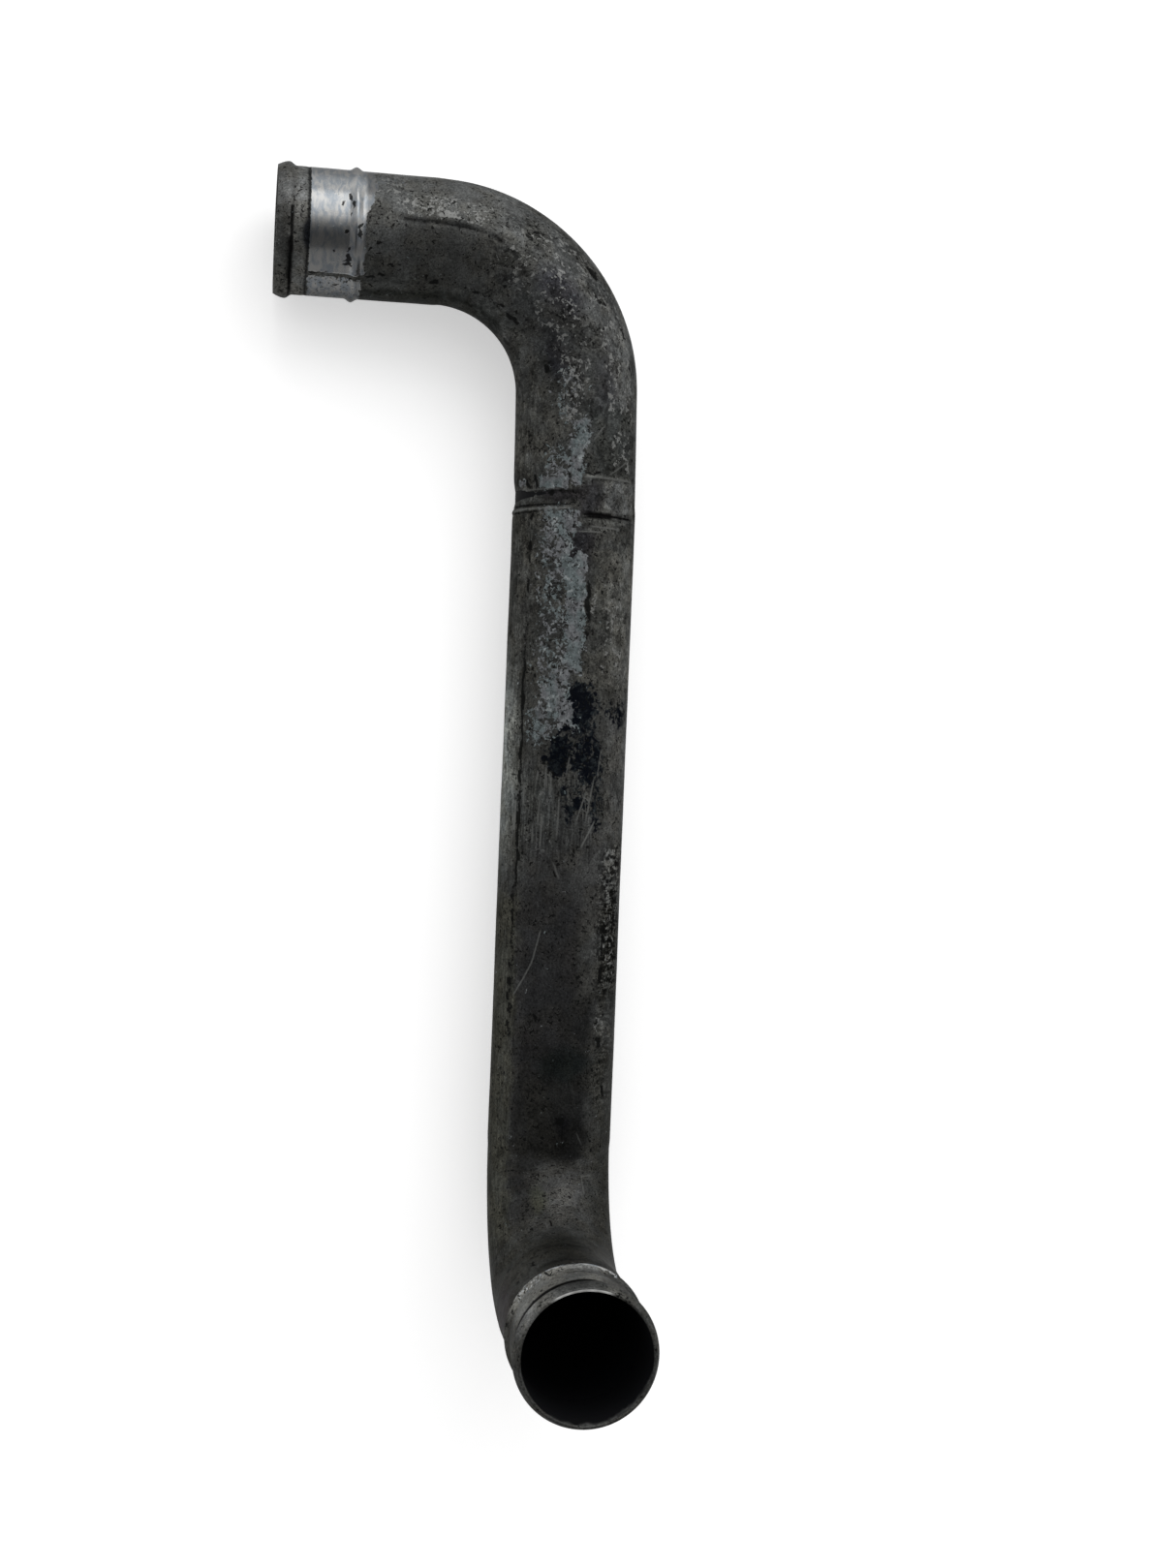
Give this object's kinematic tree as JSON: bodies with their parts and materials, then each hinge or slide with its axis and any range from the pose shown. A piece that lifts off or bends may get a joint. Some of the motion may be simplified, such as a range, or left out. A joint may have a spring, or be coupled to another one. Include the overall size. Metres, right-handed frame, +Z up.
{
  "type": "corroded pipe",
  "caption": "Corroded grey metal hose pipe, bent in crossed planes, with rolled hose beads at its open mouths.",
  "frame": {"origin": "under the middle of the pipe as it lies, level with the lowest point of its end bead", "axes": "+Y along the straight run towards leg A's bend, +Z up and the way leg B stands, -X the way leg A's mouth faces"},
  "size_m": [0.179, 0.5626, 0.1793],
  "materials": {
    "tube_metal": "dull grey oxide with dark stains and one rubbed bright band"
  },
  "bodies": {
    "root": {"pipe": "tube_metal"}
  },
  "joints": []
}
